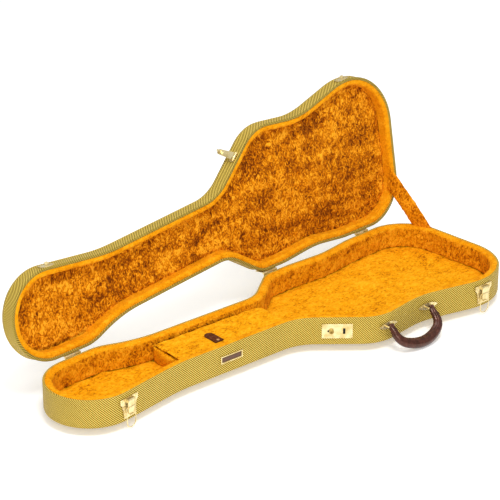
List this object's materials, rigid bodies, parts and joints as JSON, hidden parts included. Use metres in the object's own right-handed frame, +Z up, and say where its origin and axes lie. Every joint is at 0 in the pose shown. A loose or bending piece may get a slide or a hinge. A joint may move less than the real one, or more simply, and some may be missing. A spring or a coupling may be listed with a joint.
{
  "type": "guitar case",
  "caption": "Tweed-covered hard case for an offset-body electric guitar, open, with a padded plush inside, a neck rest with a lidded box, latches, a lock and a handle.",
  "frame": {"origin": "on the ground under the middle of the wide body end, half way across the base", "axes": "+X to the tail end, -Y to the front with the handle and latches, +Z up"},
  "size_m": [1.122, 0.4813, 0.4368],
  "materials": {
    "tweed": "woven, lacquered",
    "plush": "short crushed pile",
    "brass": "satin",
    "leather": "smooth, semi-gloss"
  },
  "bodies": {
    "base": {"base_bottom_panel": "tweed", "base_side_wall": "tweed", "base_floor_pad": "plush", "base_side_lining": "plush", "headstock_panel": "plush", "neck_rest": "plush", "box_hinge_tape": "plush", "stay_strap": "plush", "head_hinge_base_leaf": "brass", "head_hinge_pin": "brass", "horn_hinge_base_leaf": "brass", "horn_hinge_pin": "brass", "tail_hinge_base_leaf": "brass", "tail_hinge_pin": "brass", "head_latch_plate": "brass", "head_latch_pin": "brass", "tail_latch_plate": "brass", "tail_latch_pin": "brass", "lock_plate": "brass", "lock_case": "brass", "handle_head_bracket": "brass", "handle_tail_bracket": "brass", "badge_plate": "brass", "base_rivets": "brass"},
    "lid": {"lid_side_wall": "tweed", "lid_seam_bead": "tweed", "lid_arched_top": "tweed", "lid_side_lining": "plush", "lid_head_pad": "plush", "lid_body_pad": "plush", "head_hinge_lid_leaf": "brass", "horn_hinge_lid_leaf": "brass", "tail_hinge_lid_leaf": "brass", "head_latch_catch": "brass", "tail_latch_catch": "brass", "hasp_mount": "brass", "hasp_pin": "brass", "lid_rivets": "brass"},
    "accessory box lid": {"box_lid": "plush", "box_pull_tab": "leather", "box_tab_rivet": "brass"},
    "head latch lever": {"head_latch_lever": "brass"},
    "head latch bail": {"head_latch_bail": "brass"},
    "tail latch lever": {"tail_latch_lever": "brass"},
    "tail latch bail": {"tail_latch_bail": "brass"},
    "hasp flap": {"hasp_flap": "brass"},
    "lock knob": {"lock_knob": "brass"},
    "handle": {"handle_grip": "leather"}
  },
  "joints": [
    {"name": "lid hinges", "type": "hinge", "parent": "base", "child": "lid", "pos_m": [0, 0.1778, 0.082], "axis": [1, 0, 0], "range_deg": [0, 100], "deforming": ["stay_strap"]},
    {"name": "accessory box lid", "type": "hinge", "parent": "base", "child": "accessory box lid", "pos_m": [-0.4762, 0.10635, 0.0704], "axis": [0.9968, -0.0802, 0], "range_deg": [-75, 0]},
    {"name": "head latch lever", "type": "hinge", "parent": "base", "child": "head latch lever", "pos_m": [-0.77042, -0.02047, 0.065], "axis": [0.9954, 0.0958, 0], "range_deg": [-120, 0]},
    {"name": "head latch bail", "type": "hinge", "parent": "head latch lever", "child": "head latch bail", "pos_m": [-0.77042, -0.02047, 0.05], "axis": [-0.9954, -0.0958, 0], "range_deg": [0, 182]},
    {"name": "tail latch lever", "type": "hinge", "parent": "base", "child": "tail latch lever", "pos_m": [0.10558, -0.18109, 0.065], "axis": [0.9976, -0.0698, 0], "range_deg": [-120, 0]},
    {"name": "tail latch bail", "type": "hinge", "parent": "tail latch lever", "child": "tail latch bail", "pos_m": [0.10558, -0.18109, 0.05], "axis": [-0.9976, 0.0698, 0], "range_deg": [0, 182]},
    {"name": "hasp flap", "type": "hinge", "parent": "lid", "child": "hasp flap", "pos_m": [-0.2451, 0.23002, 0.34935], "axis": [0.7218, 0.1202, 0.6816], "range_deg": [-8, 160]},
    {"name": "lock knob", "type": "slide", "parent": "base", "child": "lock knob", "axis": [-0.7218, 0.6921, 0], "range_m": [0, 0.006], "stiffness_N_per_m": 150, "springref_m": -0.002},
    {"name": "handle", "type": "hinge", "parent": "base", "child": "handle", "pos_m": [-0.0985, -0.15, 0.055], "axis": [1, 0, 0], "range_deg": [-80, 0]}
  ]
}
